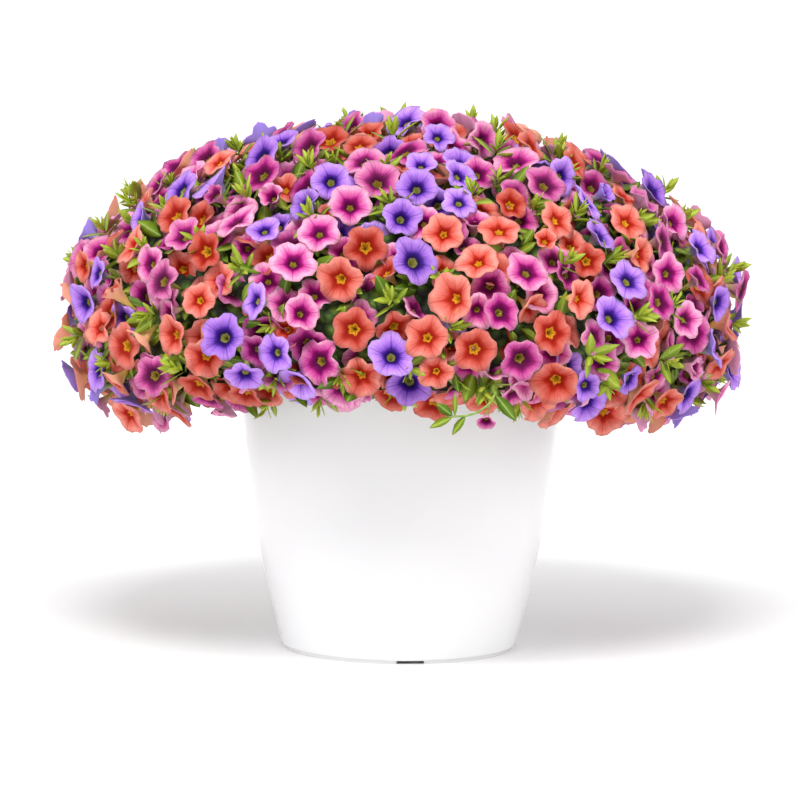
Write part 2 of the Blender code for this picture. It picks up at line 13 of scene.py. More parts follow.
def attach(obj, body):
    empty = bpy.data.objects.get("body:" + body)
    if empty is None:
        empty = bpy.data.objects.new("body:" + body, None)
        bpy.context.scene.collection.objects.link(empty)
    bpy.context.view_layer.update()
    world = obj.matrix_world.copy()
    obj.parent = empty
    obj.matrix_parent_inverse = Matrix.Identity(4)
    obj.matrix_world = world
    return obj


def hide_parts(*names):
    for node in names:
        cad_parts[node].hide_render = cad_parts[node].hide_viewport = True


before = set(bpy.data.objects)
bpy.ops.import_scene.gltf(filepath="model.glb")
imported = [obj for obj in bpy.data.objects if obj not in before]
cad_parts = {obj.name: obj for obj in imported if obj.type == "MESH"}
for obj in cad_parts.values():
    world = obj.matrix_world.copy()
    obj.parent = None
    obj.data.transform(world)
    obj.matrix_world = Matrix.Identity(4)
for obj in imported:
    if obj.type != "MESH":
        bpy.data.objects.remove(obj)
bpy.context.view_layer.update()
nodes = list(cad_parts)


# Planter: a round pot of white gloss plastic with a low foot and a drain gap in it. It is moulded in one
# piece, so its wall turns over a rounded rim and runs on down inside.
POT_SIDES = 160
POT_TOP = 0.225
FOOT_TOP = 0.0026
GAP_AZIMUTH = math.radians(-84)
GAP_HALF_WIDTH = 0.011


def colour(code):
    """The linear colour of a hex sRGB one."""
    srgb = np.array([int(code[i:i + 2], 16) for i in (0, 2, 4)]) / 255
    linear = np.where(srgb <= 0.04045, srgb / 12.92, ((srgb + 0.055) / 1.055) ** 2.4)
    return (*linear.tolist(), 1.0)


def set_sockets(finish, node, sockets):
    """Gives a shader node's inputs their values, or links them where the value is another node's output."""
    for name, value in sockets.items():
        if isinstance(value, bpy.types.NodeSocket):
            finish.node_tree.links.new(value, node.inputs[name])
        else:
            node.inputs[name].default_value = value


def add(finish, kind, sockets=None, **settings):
    """Adds a shader node with its settings, input values and links."""
    node = finish.node_tree.nodes.new("ShaderNode" + kind)
    for name, value in settings.items():
        setattr(node, name, value)
    set_sockets(finish, node, sockets or {})
    return node


def ramp(finish, source, stops):
    """Adds a colour ramp of (position, hex colour) stops and gives its colour output."""
    node = add(finish, "ValToRGB", {0: source})
    band = node.color_ramp
    band.elements[0].position, band.elements[0].color = stops[0][0], colour(stops[0][1])
    band.elements[1].position, band.elements[1].color = stops[-1][0], colour(stops[-1][1])
    for position, code in stops[1:-1]:
        band.elements.new(position).color = colour(code)
    return node.outputs["Color"]


def maths(finish, operation, a, b=0.0, c=0.0, clamp=False):
    """Adds a sum of up to three values and gives its result."""
    node = add(finish, "Math", {0: a, 1: b, 2: c}, operation=operation, use_clamp=clamp)
    return node.outputs[0]


def blend(finish, share, a, b):
    """Mixes colour b into colour a by a share and gives the result."""
    node = add(finish, "Mix", {0: share, 6: a, 7: b}, data_type="RGBA")
    return node.outputs[2]


def new_finish(name):
    """A material and its surface shader."""
    made = bpy.data.materials.new(name)
    made.use_nodes = True
    return made, made.node_tree.nodes["Principled BSDF"]


def ring_faces(rings, sides):
    """Faces of a closed shape whose points are a first tip, rings of points and a last tip.

    The rings run from the first tip to the last, and each turns left as seen from the first tip. Gives
    quads and triangles, and for every corner of both its share of the turn and its ring's number."""
    k = np.arange(sides)
    n = (k + 1) % sides
    start = 1 + sides * np.arange(rings - 1)[:, None]
    quads = np.stack([start + k, start + sides + k, start + sides + n, start + n], -1).reshape(-1, 4)
    last = 1 + sides * (rings - 1)
    tip = last + sides
    top = np.stack([0 * k, 1 + k, 1 + n], -1)
    bottom = np.stack([last + n, last + k, 0 * k + tip], -1)
    ring = np.arange(rings - 1)[:, None] + 0 * k
    quad_ring = np.stack([ring, ring + 1, ring + 1, ring], -1) + 1
    quad_turn = np.stack([k, k, k + 1, k + 1], -1) + 0 * ring[..., None]
    top_turn = np.stack([k + 0.5, k, k + 1], -1)
    bottom_turn = np.stack([k + 1, k, k + 0.5], -1)
    top_ring = np.stack([0 * k, 0 * k + 1, 0 * k + 1], -1)
    bottom_ring = np.stack([0 * k + rings, 0 * k + rings, 0 * k + rings + 1], -1)
    turn = np.concatenate([quad_turn.ravel(), top_turn.ravel(), bottom_turn.ravel()]) / sides
    level = np.concatenate([quad_ring.ravel(), top_ring.ravel(), bottom_ring.ravel()])
    return quads, np.concatenate([top, bottom]), turn, level


def new_piece(name, points, quads, triangles, finish, copies=1, uv=None, values=None):
    """A mesh object of one or more copies of a shape, all in one array of points.

    The faces are those of the first copy. The uv is a pair for each corner of one copy, and values are
    numbers for each copy, by name, that its material can read."""
    points = np.asarray(points, float).reshape(-1, 3)
    shift = len(points) // copies * np.arange(copies)[:, None, None]
    quads = np.asarray(quads).reshape(1, -1, 4) + shift
    triangles = np.asarray(triangles).reshape(1, -1, 3) + shift
    corners = np.concatenate([quads.reshape(copies, -1), triangles.reshape(copies, -1)], 1)
    sizes = np.tile(np.repeat([4, 3], [quads.shape[1], triangles.shape[1]]), copies)
    mesh = bpy.data.meshes.new(name)
    mesh.vertices.add(len(points))
    mesh.vertices.foreach_set("co", points.astype(np.float32).ravel())
    mesh.loops.add(corners.size)
    mesh.loops.foreach_set("vertex_index", corners.astype(np.int32).ravel())
    mesh.polygons.add(len(sizes))
    mesh.polygons.foreach_set("loop_start", np.concatenate([[0], np.cumsum(sizes)[:-1]]).astype(np.int32))
    mesh.update(calc_edges=True)
    mesh.polygons.foreach_set("use_smooth", np.ones(len(sizes), bool))
    if uv is not None:
        layer = mesh.uv_layers.new(name="spread")
        layer.data.foreach_set("uv", np.tile(uv, (copies, 1)).astype(np.float32).ravel())
    for key, numbers in (values or {}).items():
        layer = mesh.attributes.new(key, "FLOAT", "POINT")
        layer.data.foreach_set("value", np.repeat(numbers, len(points) // copies).astype(np.float32))
    mesh.materials.append(finish)
    made = bpy.data.objects.new(name, mesh)
    bpy.context.scene.collection.objects.link(made)
    return made


def pot_radius(height):
    """Outer radius of the pot's wall at a height: it widens upwards, a little less with every step."""
    return 0.0934 + 0.2838 * height - 0.538 * height ** 2


def pot_profile():
    """Radius and height down the pot's skin: inside floor, up the inner wall, over the rim, down the outer
    wall and under the foot to the middle."""
    inside = np.linspace(0.0090, POT_TOP - 0.004, 10)
    roll = np.linspace(math.pi, 0, 9)
    outside = np.linspace(POT_TOP - 0.004, 0.0050, 22)
    rim = pot_radius(POT_TOP - 0.0016)
    foot = pot_radius(0.0) - 0.0012
    parts = [
        np.array([(0.0500, 0.0066), (0.0860, 0.0066), (0.0890, 0.0072)]),
        np.stack([pot_radius(inside) - 0.0030, inside], 1),
        np.stack([rim - 0.0015 + 0.0015 * np.cos(roll), POT_TOP - 0.0016 + 0.0016 * np.sin(roll)], 1),
        np.stack([pot_radius(outside), outside], 1),
        np.array([(pot_radius(0.0036), 0.0036), (pot_radius(0.003) - 0.0004, 0.0029), (foot, FOOT_TOP)]),
        np.array([(foot, 0.0006), (foot - 0.0005, 0.0), (foot - 0.0060, 0.0), (foot - 0.0065, FOOT_TOP)]),
        np.array([(0.0500, FOOT_TOP)]),
    ]
    return np.concatenate(parts)


def pot_points():
    """The profile turned round the pot's axis. The bottom of the foot is drawn up where the gap is."""
    profile = pot_profile()
    edge = GAP_HALF_WIDTH / pot_radius(0.0)
    turn = np.linspace(edge + 0.002, math.tau - edge - 0.002, POT_SIDES - 6)
    turn = GAP_AZIMUTH + np.concatenate([turn, np.linspace(-edge, edge, 6)])
    radius, height = profile[:, :1], profile[:, 1:]
    gap = np.arange(len(turn)) >= POT_SIDES - 6
    height = np.where(gap & (height < FOOT_TOP), FOOT_TOP - 0.0002, height + 0 * turn)
    body = np.stack([radius * np.cos(turn), radius * np.sin(turn), height], -1).reshape(-1, 3)
    return np.concatenate([[(0, 0, 0.0066)], body, [(0, 0, FOOT_TOP)]])


# White plastic, nearly even: its gloss varies faintly, as a moulded wall's does.
plastic, surface = new_finish("white gloss plastic")
place = add(plastic, "TexCoord").outputs["Object"]
drift = add(plastic, "TexNoise", {"Vector": place, "Scale": 9.0, "Detail": 2.0}).outputs[0]
set_sockets(plastic, surface, {
    "Base Color": ramp(plastic, drift, [(0.3, "EFEFF1"), (0.7, "F3F3F4")]),
    "Roughness": maths(plastic, "MULTIPLY_ADD", drift, 0.10, 0.16),
    "Specular IOR Level": 0.55,
    "Coat Weight": 0.25,
    "Coat Roughness": 0.08,
})
quads, triangles, _, _ = ring_faces(len(pot_profile()), POT_SIDES)
pot = new_piece("planter", pot_points(), quads, triangles, plastic)
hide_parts("pot")
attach(pot, "root")


# Potting soil: dark moist peat with paler crumbs in it, filled in round the root balls to a little under
# the rim. The CAD solid stays as it is and gets this finish.
peat, surface = new_finish("potting soil")
place = add(peat, "TexCoord").outputs["Object"]
grain = add(peat, "TexNoise", {"Vector": place, "Scale": 420.0, "Detail": 6.0}).outputs[0]
crumb = add(peat, "TexVoronoi", {"Vector": place, "Scale": 230.0}).outputs["Distance"]
set_sockets(peat, surface, {
    "Base Color": ramp(peat, grain, [(0.30, "1B120C"), (0.55, "35251A"), (0.75, "5A4431")]),
    "Roughness": 0.95,
    "Normal": add(peat, "Bump", {"Height": crumb, "Distance": 0.002, "Strength": 0.8}).outputs[0],
})
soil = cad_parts["soil"]
soil.data.materials.clear()
soil.data.materials.append(peat)


# The dome that blooms, leaves and stems all follow: a flat crown over a skirt that hangs nearly straight
# and then turns in. It has four and six shallow lumps round it and a hem that hangs lower at the sides.
SPREAD = 0.272
WIDEST = 0.276
RISE = 0.153
DROP = 0.084
GOLDEN = math.pi * (3 - math.sqrt(5))
STEP = 0.004  # of the way to either side over which the slope is taken
LUMPS_FROM = 0.14  # radius from which the lumps and the sway grow
LUMPS_RISE = 0.08  # radius over which they grow
HEM_SWAY = 0.14  # share of its drop by which the skirt hangs lower at the sides
FOUR_LUMPS, SIX_LUMPS = 0.009, 0.008  # their heights, in shares of the radius


def meridian():
    """Way along the dome from its crown, radius and height, down a section through its axis."""
    turn = np.linspace(0, math.pi / 2, 240)
    down = np.linspace(0, 0.985, 240)[1:]
    radius = SPREAD * np.concatenate([np.sin(turn), (1 - down ** 4) ** 0.25])
    height = WIDEST + np.concatenate([RISE * np.cos(turn), -DROP * down])
    way = np.concatenate([[0], np.cumsum(np.hypot(np.diff(radius), np.diff(height)))])
    return way, radius, height


WAY, RADIUS, HEIGHT = meridian()
HEM = float(np.interp(WIDEST - 0.93 * DROP, HEIGHT[::-1], WAY[::-1]))
AREA = np.concatenate([[0], np.cumsum((RADIUS[1:] + RADIUS[:-1]) / 2 * np.diff(WAY))])
HEM_AREA = np.interp(HEM, WAY, AREA)


def slope(way):
    """Change of the section's radius and height over a step to either side of a way, and both together."""
    run = np.interp(way + STEP, WAY, RADIUS) - np.interp(way - STEP, WAY, RADIUS)
    fall = np.interp(way + STEP, WAY, HEIGHT) - np.interp(way - STEP, WAY, HEIGHT)
    return run, fall, np.hypot(run, fall)


def on_dome(way, turn, depth):
    """Points at a way along the dome and a turn round it, at a depth under it. The section is moved in
    square to its own slope, and then the lumps and the hem's sway are laid over it."""
    run, fall, length = slope(way)
    radius = np.interp(way, WAY, RADIUS) + depth * fall / length
    height = np.interp(way, WAY, HEIGHT) - depth * run / length
    away = np.clip((radius - LUMPS_FROM) / LUMPS_RISE, 0, 1)
    height = height - away * np.clip(WIDEST - height, 0, None) * HEM_SWAY * np.cos(2 * turn)
    lumps = FOUR_LUMPS * np.sin(4 * turn + 0.9) + SIX_LUMPS * np.sin(6 * turn + 2.2)
    radius = radius * (1 + away * lumps)
    return np.stack([radius * np.cos(turn), radius * np.sin(turn), height], axis=-1)


def outward(way, turn):
    """The direction straight out of the dome, square to its section's slope."""
    run, fall, length = slope(way)
    rise = run / length + 0 * turn
    return np.stack([-fall / length * np.cos(turn), -fall / length * np.sin(turn), rise], -1)


def unit(vectors):
    """Vectors brought to length one."""
    return vectors / np.linalg.norm(vectors, axis=-1, keepdims=True)


def across(axis, spin):
    """Two directions square to each axis and to each other, turned round it by spin."""
    upright = np.abs(axis[..., 2:]) < 0.9
    side = unit(np.cross(np.where(upright, [0.0, 0.0, 1.0], [1.0, 0.0, 0.0]), axis))
    other = np.cross(axis, side)
    cos, sin = np.cos(spin)[..., None], np.sin(spin)[..., None]
    return side * cos + other * sin, other * cos - side * sin


# The sites of the 353 largest blooms and of 29 shoots, as in the CAD model: equal areas by the golden
# angle, shaken and then pushed apart.
SITES = 382
SHOOTS = 29
SHOOT_GAP = 0.078  # the least distance between two shoots
SHAKE = 0.16  # of the sites' pitch
ROUNDS = 14  # in which the sites push each other apart
LEAST_WAY = 0.004  # from the crown's middle
SEED = 14


def site_places():
    """Way and turn of each site. Neighbours nearer than their fair distance push each other away."""
    rng = np.random.default_rng(SEED)
    index = np.arange(SITES)
    way = np.interp((index + 0.5) / SITES * HEM_AREA, AREA, WAY)
    turn = index * GOLDEN
    pitch = math.sqrt(math.tau * HEM_AREA / SITES * 2 / math.sqrt(3))
    radius = np.interp(way, WAY, RADIUS)
    way = way + rng.normal(0, SHAKE * pitch, SITES)
    turn = turn + rng.normal(0, SHAKE * pitch, SITES) / radius
    for _ in range(ROUNDS):
        way = np.clip(way, LEAST_WAY, HEM)
        radius = np.interp(way, WAY, RADIUS)
        place = on_dome(way, turn, 0)
        apart = place[:, None] - place[None]
        distance = np.linalg.norm(apart, axis=-1) + np.eye(SITES)
        push = np.clip(1.12 * pitch - distance, 0, None) / distance
        np.fill_diagonal(push, 0)
        shift = 0.22 * (push[..., None] * apart).sum(1)
        round_way = np.stack([-np.sin(turn), np.cos(turn), 0 * turn], axis=-1)
        way = way + (shift * np.cross(round_way, outward(way, turn))).sum(1)
        turn = turn + (shift * round_way).sum(1) / radius
    return np.clip(way, LEAST_WAY, HEM), np.mod(turn, math.tau)


def facing(way, turn, lean, spread, rng):
    """Where blooms look: out of the dome, leaning towards level, and tilted a little at random."""
    level = np.stack([np.cos(turn), np.sin(turn), 0.12 + 0 * turn], axis=-1)
    face = (1 - lean) * outward(way, turn) + lean * level
    return unit(unit(face) + rng.normal(0, spread, face.shape))


site_way, site_turn = site_places()
rng = np.random.default_rng(SEED + 2)
site_centre = on_dome(site_way, site_turn, 0.006 + rng.uniform(-1, 1, SITES) * 0.003)
site_face = facing(site_way, site_turn, 0.42, 0.17, np.random.default_rng(SEED + 1))
is_shoot = np.zeros(SITES, bool)
for i in np.random.default_rng(SEED + 4).permutation(SITES):
    far = np.linalg.norm(site_centre[is_shoot] - site_centre[i], axis=-1) > SHOOT_GAP
    if is_shoot.sum() < SHOOTS and far.all():
        is_shoot[i] = True


# Colours of those blooms: each belongs to the flowering stem that passes nearest, and stems of violet,
# pink and coral plants run side by side from the crown to the hem.
SHARES = {"violet": 0.27, "pink": 0.37, "coral": 0.36}
STEM_PITCH = 0.041  # round the dome, between stems that start at the same way down it
LAST_START = 0.2995  # the furthest way down the dome at which a stem starts
SWAY = 0.14  # radians by which a stem swings to either side
MINGLE = 0.016  # the most by which the second nearest stem may be further off and still carry a bloom


def gap_between(a, b):
    """The angle between two turns, whichever way round is shorter."""
    return np.abs(np.mod(a - b + math.pi, math.tau) - math.pi)


stem_count = int(math.tau * SPREAD / STEM_PITCH)
stem_turn = np.arange(stem_count) * GOLDEN
widest = int(np.argmax(RADIUS))
start_radius = (np.arange(stem_count) + 1) * STEM_PITCH / math.tau
stem_start = np.interp(start_radius, RADIUS[:widest + 1], WAY[:widest + 1])
stem_start = np.minimum(stem_start, LAST_START)
stem_colour = []
for i, turn in enumerate(stem_turn):
    beside = {stem_colour[k] for k in np.argsort(gap_between(stem_turn[:i], turn))[:2]}
    free = [c for c in SHARES if c not in beside] or list(SHARES)
    stem_colour.append(min(free, key=lambda c: (stem_colour.count(c) + 1) / SHARES[c]))
draw = np.random.default_rng(SEED + 5).random(SITES)
swung = stem_turn + SWAY * np.sin(site_way[:, None] / 0.075)
sideways = np.interp(site_way, WAY, RADIUS)[:, None] * gap_between(swung, site_turn[:, None])
distance = np.hypot(sideways, 1.5 * np.clip(stem_start - site_way[:, None], 0, None))
order = np.argsort(distance, axis=1)[:, :2]
nearest = np.take_along_axis(distance, order, 1)
chosen = np.where(nearest[:, 1] < nearest[:, 0] + draw * MINGLE, order[:, 1], order[:, 0])
site_colour = np.array(stem_colour)[chosen]


# Smaller and younger blooms fill the gaps between and under the large ones. Each goes to the emptiest of
# a few places drawn at random.
FILLERS = 590
FILLER_SHARES = (0.05, 0.60, 0.35)  # of violet, pink and coral
FILLER_DEPTHS = (0.009, 0.017)  # under the dome
TRIES = 36  # places drawn for each

rng = np.random.default_rng(71)
spots, filler = site_centre.copy(), []
for _ in range(FILLERS):
    way = np.interp(rng.uniform(0.0, HEM_AREA, TRIES), AREA, WAY)
    turn = rng.uniform(0, math.tau, TRIES)
    depth = rng.uniform(*FILLER_DEPTHS, TRIES)
    options = on_dome(way, turn, depth)
    best = int(np.argmax(np.linalg.norm(options[:, None] - spots[None], axis=-1).min(1)))
    spots = np.vstack([spots, options[best]])
    filler.append((way[best], turn[best]))
filler_way, filler_turn = np.array(filler).T
filler_centre = spots[SITES:]
filler_face = facing(filler_way, filler_turn, 0.40, 0.30, rng)
filler_colour = rng.choice(list(SHARES), FILLERS, p=FILLER_SHARES)


# Blooms: five-lobed funnels, about 33 mm across, of thin soft petals grown into one tube. The face opens
# from a yellow throat through a dark eye to paler rims, and the back runs down into a narrow green tube.
BLOOM_SIDES = 20
HEM_LIFT = 0.013  # by which the lowest blooms in front ride up on the rim
HEM_DROP = 0.008  # by which the lowest blooms at the sides hang deeper
CONE_SLOPE = 0.45  # of a bloom's face, from its middle up to its rim
SINK_ROUNDS = 3  # in which the fillers under larger blooms sink
SINK_MOST = 0.005  # by which a filler sinks in one round
PLACE_SHAKE = 0.0018  # along each axis
FACE_SHAKE = 0.17  # added along each axis to the direction in which a bloom looks
LARGE = (0.0172, 0.0015)  # mean and spread of the radius
SMALLER = (0.0160, 0.0013)
RADIUS_LIMITS = (0.0136, 0.0198)
HALF_OPEN_SHARE = 0.04
HALF_OPEN = (0.52, 0.74)  # their openness, where one is fully open
SPRIG_BLOOM = -1  # the last filler goes on the sprig in front of the pot
#        tip    throat      eye    middle   rim      back rim  back   tube   foot   tip
SHARE = [0.00, 0.13, 0.36, 0.72, 1.00, 0.98, 0.36, 0.13, 0.07, 0.00]
LEVEL = [0.00, 0.13, 0.36, 0.72, 1.00, 1.04, 1.35, 1.65, 1.90, 2.00]
BACK = [0.0, 0.0, 0.0, 0.0, 0.0, 0.035, 0.13, 0.42, 0.75, 0.80]


def bloom_points(centre, face, radius, spin, openness, rng):
    """Points of many blooms. The radius grows from the throat to the rim, where five cosine lobes with
    sharp notches between them cut in; the height rises from a deep throat to a shallow cup; and a fold
    across the face and an uneven length and lift for every lobe are added. Openness below one draws a
    bloom together, and below a half it is furled."""
    count = len(centre)
    turn = math.tau * np.arange(BLOOM_SIDES) / BLOOM_SIDES
    lobe = np.cos(5 * turn)
    nearest_lobe = np.rint(turn * 5 / math.tau).astype(int) % 5
    share = np.array(SHARE)[None, 1:-1, None]
    back = np.array(BACK)[None, 1:-1, None]
    cup = rng.uniform(0.02, 0.26, count)[:, None, None]
    notch = rng.uniform(0.14, 0.25, count)[:, None, None]
    curl = rng.normal(0.05, 0.05, count)[:, None, None]
    uneven = rng.normal(0, 0.045, (count, 5))[:, None, nearest_lobe] * (1 + lobe) / 2
    lift = rng.normal(0, 0.06, (count, 5))[:, None, nearest_lobe] * (1 + lobe) / 2
    outline = 1 - share ** 3 * notch * ((1 - lobe) / 2) ** 2.5 + share * uneven
    open_share = openness[:, None, None]
    reach = share * outline * (1 - (1 - open_share) * share ** 0.5)
    height = -cup * (1 - share) - 0.42 * np.exp(-share / 0.17) - back
    height = height + share ** 2 * (lift - curl * lobe) + (1 - open_share) * 0.45 * share
    furled = (open_share < 0.5) & (np.array(LEVEL)[None, 1:-1, None] <= 1)
    height = np.where(furled, 0.62 - 0.30 * share, height)
    twist = spin[:, None, None] + (1 - open_share) * 1.1 * share + turn
    x, y = reach * np.cos(twist), reach * np.sin(twist)
    fold = rng.uniform(0, math.tau, count)[:, None, None]
    bend = rng.normal(0, 0.13, count)[:, None, None] * open_share
    height = height + bend * (x * np.cos(fold) + y * np.sin(fold)) ** 2
    side, other = across(face, np.zeros(count))
    size = radius[:, None, None, None]
    body = (x[..., None] * side[:, None, None] + y[..., None] * other[:, None, None]
            + height[..., None] * face[:, None, None]) * size
    body = body.reshape(count, -1, 3)
    deep = np.where(openness[:, None] < 0.5, 0.70, -cup[:, 0] - 0.50) * radius[:, None] * face
    foot = (-cup[:, 0] - 0.42 - BACK[-1]) * radius[:, None] * face
    return centre[:, None] + np.concatenate([deep[:, None], body, foot[:, None]], 1)


def petal_finish(name, front, vein, star, eye_spread, back):
    """Petals in one colour: rings of colour from throat to rim that reach out along the middle of every
    lobe, veins, and a paler back that turns green along the tube.

    They are soft and scatter light, so they are rough and hardly shine."""
    made, surface = new_finish(name)
    spread = add(made, "SeparateXYZ", {0: add(made, "UVMap", uv_map="spread").outputs[0]})
    turn, level = spread.outputs[0], spread.outputs[1]
    place = add(made, "TexCoord").outputs["Object"]
    tone = add(made, "Attribute", attribute_name="tone").outputs["Fac"]
    pale = add(made, "Attribute", attribute_name="pale").outputs["Fac"]
    cloud = add(made, "TexNoise", {"Vector": place, "Scale": 190.0, "Detail": 3.0}).outputs[0]
    lobe = maths(made, "COSINE", maths(made, "MULTIPLY", turn, 10 * math.pi))
    ragged = maths(made, "MULTIPLY_ADD", cloud, 0.36, 0.82)
    reach = maths(made, "MULTIPLY_ADD", lobe, -star, ragged)
    reach = maths(made, "MULTIPLY", level, reach)
    size = maths(made, "MULTIPLY_ADD", tone, eye_spread, 1 - eye_spread / 2)
    petals = ramp(made, maths(made, "MULTIPLY", reach, size), front)
    outer = maths(made, "MULTIPLY", pale, maths(made, "POWER", level, 3.0), clamp=True)
    washed = blend(made, outer, petals, colour(front[-1][1]))
    streak = add(made, "CombineXYZ", {0: maths(made, "MULTIPLY", turn, 62.0), 1: level})
    fine = add(made, "TexNoise", {"Vector": streak.outputs[0], "Scale": 1.0, "Detail": 2.0}).outputs[0]
    fine = add(made, "MapRange", {0: fine, 1: 0.46, 2: 0.68, 3: 0.0, 4: 0.62}).outputs[0]
    middle = add(made, "MapRange", {0: lobe, 1: 0.955, 2: 1.0, 3: 0.0, 4: 0.85}).outputs[0]
    veins = maths(made, "MAXIMUM", fine, middle)
    fade = add(made, "MapRange", {0: level, 1: 0.25, 2: 1.0, 3: 1.0, 4: 0.26}).outputs[0]
    drawn = blend(made, maths(made, "MULTIPLY", veins, fade), washed, colour(vein))
    tube = ramp(made, maths(made, "MULTIPLY", level, 0.5), back)
    behind = maths(made, "GREATER_THAN", level, 1.03)
    whole = blend(made, behind, drawn, tube)
    value = maths(made, "MULTIPLY_ADD", tone, 0.28, 0.82)
    shaded = add(made, "HueSaturation", {"Color": whole, "Value": value}).outputs[0]
    set_sockets(made, surface, {
        "Base Color": shaded,
        "Roughness": maths(made, "MULTIPLY_ADD", cloud, 0.2, 0.45),
        "Specular IOR Level": 0.06,
        "Normal": add(made, "Bump", {"Height": fine, "Distance": 0.0004, "Strength": 0.5}).outputs[0],
    })
    return made


finishes = {
    "violet": petal_finish(
        "violet petals",
        [(0.0, "5C5A12"), (0.14, "A8A233"), (0.18, "1E0C46"), (0.26, "2A0E66"),
         (0.33, "4A2094"), (0.44, "8C58CC"), (0.66, "B880E6"), (1.0, "CA9EF2")],
        "2A1070", 0.06, 0.35,
        [(0.5, "A58CEB"), (0.68, "9A86D2"), (0.84, "A6B25C"), (1.0, "8AA23C")]),
    "pink": petal_finish(
        "pink petals",
        [(0.0, "5A4C0A"), (0.14, "A49226"), (0.18, "4A0630"), (0.31, "620648"),
         (0.42, "921068"), (0.51, "C63C92"), (0.72, "DC70AC"), (1.0, "F0A8C8")],
        "6A0848", 0.10, 0.50,
        [(0.5, "E3A2C6"), (0.68, "D890B4"), (0.84, "B9B060"), (1.0, "8AA23C")]),
    "coral": petal_finish(
        "coral petals",
        [(0.0, "7A560A"), (0.16, "EDB32A"), (0.20, "961A08"), (0.29, "961A0A"),
         (0.38, "B4301F"), (0.49, "CE5648"), (0.72, "DA7064"), (1.0, "E89284")],
        "A41A0E", 0.16, 0.5,
        [(0.5, "F8AE98"), (0.68, "F6B48A"), (0.84, "E4C05E"), (1.0, "AEB044")]),
}


def lowness(place):
    """Nought down to a height of 262 mm, then growing evenly to one at 217 mm."""
    return np.clip((0.262 - place[:, 2]) / 0.045, 0, 1)


def sunk(centre, face, radius):
    """Centres once every filler whose rim would show through a larger bloom has sunk under that bloom.

    The larger bloom counts as a cone, and the sink is the rim's greatest height over it plus 2 mm."""
    centre = centre.copy()
    turn = math.tau * np.arange(12)[:, None] / 12
    side, other = across(face[-FILLERS:], np.zeros(FILLERS))
    rim = np.cos(turn) * side[:, None] + np.sin(turn) * other[:, None]
    inward = unit([0, 0, 0.20] - centre[-FILLERS:])
    for _ in range(SINK_ROUNDS):
        edge = centre[-FILLERS:, None] + radius[-FILLERS:, None, None] * rim
        away = edge[:, :, None] - centre[None, None, :-FILLERS]
        before = (away * face[:-FILLERS]).sum(-1)
        beside = np.sqrt(np.clip((away ** 2).sum(-1) - before ** 2, 0, None))
        over = before + CONE_SLOPE * (radius[:-FILLERS] - beside)
        through = (beside < 0.95 * radius[:-FILLERS]) & (over > -0.001) & (before < 0.012)
        sink = np.where(through, over + 0.002, 0.0).max((1, 2))
        centre[-FILLERS:] += np.clip(sink, 0, SINK_MOST)[:, None] * inward
    return centre


quads, triangles, turn, level = ring_faces(len(SHARE) - 2, BLOOM_SIDES)
bloom_uv = np.stack([turn, np.array(LEVEL)[level.astype(int)]], 1)
rng = np.random.default_rng(72)
centre = np.concatenate([site_centre[~is_shoot], filler_centre])
front = np.clip(-centre[:, 1] / 0.26, 0, 1) ** 2
centre[:, 2] += HEM_LIFT * front * lowness(centre)
flank = np.clip((np.abs(centre[:, 0]) - 0.09) / 0.09, 0, 1)
centre[:, 2] -= HEM_DROP * lowness(centre) * flank
centre += rng.normal(0, PLACE_SHAKE, centre.shape)
face = np.concatenate([site_face[~is_shoot], filler_face])
face = unit(face + rng.normal(0, FACE_SHAKE, face.shape))
kind = np.concatenate([site_colour[~is_shoot], filler_colour])
large = rng.normal(*LARGE, (~is_shoot).sum())
radius = np.concatenate([large, rng.normal(*SMALLER, FILLERS)])
radius = np.clip(radius, *RADIUS_LIMITS)
half_open = rng.random(len(centre)) < HALF_OPEN_SHARE
openness = np.where(half_open, rng.uniform(*HALF_OPEN, len(centre)), 1.0)
openness = openness * rng.uniform(0.90, 1.0, len(centre))
spin = rng.uniform(0, math.tau, len(centre))
centre = sunk(centre, face, radius)
centre[SPRIG_BLOOM] = (0.0622, -0.2690, 0.2100)
face[SPRIG_BLOOM] = (-0.12, -0.78, -0.61)
kind[SPRIG_BLOOM] = "pink"
radius[SPRIG_BLOOM], openness[SPRIG_BLOOM] = 0.0120, 0.62
points = bloom_points(centre, face, radius, spin, openness, rng)
tone = rng.random(len(centre))
pale = np.clip(rng.normal(0.15, 0.3, len(centre)), 0, 0.9)
for name, finish in finishes.items():
    mine = kind == name
    piece = new_piece(f"{name}_blooms", points[mine], quads, triangles, finish, int(mine.sum()), bloom_uv,
                      {"tone": tone[mine], "pale": pale[mine]})
    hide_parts(*(node for node in nodes if node.startswith(name)))
    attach(piece, "root")


# Green inside: the twigs and old leaves of the three plants, grown together so densely that they show
# only as dark, broken ground between the blooms. It stands on the soil and folds over the rim.
THICKET_ROWS = 44
THICKET_SIDES = 150
THICKET_DEPTH = 0.029  # under the dome
KNOB = 0.004  # by which it is rough, up or down
THICKET_FOOT = 0.2078  # the height of its underside, just over the soil

rows = np.linspace(LEAST_WAY, 0.432, THICKET_ROWS)
turn = math.tau * np.arange(THICKET_SIDES) / THICKET_SIDES
way, turn = np.meshgrid(rows, turn, indexing="ij")
rng = np.random.default_rng(73)
knob = rng.uniform(-KNOB, KNOB, way.shape)
skin = on_dome(way, turn, THICKET_DEPTH + knob)
under = np.array([(0.232, 0.2290), (0.175, 0.2275), (0.1345, 0.2275), (0.1335, 0.2290), (0.1215, 0.2290),
                  (0.1180, THICKET_FOOT)])
under_turn = turn[:1].repeat(len(under), 0)
under = np.stack([under[:, :1] * np.cos(under_turn), under[:, :1] * np.sin(under_turn),
                  under[:, 1:] + 0 * under_turn], -1)
body = np.concatenate([skin, under]).reshape(-1, 3)
body = np.concatenate([[(0, 0, WIDEST + RISE - THICKET_DEPTH)], body, [(0, 0, THICKET_FOOT)]])

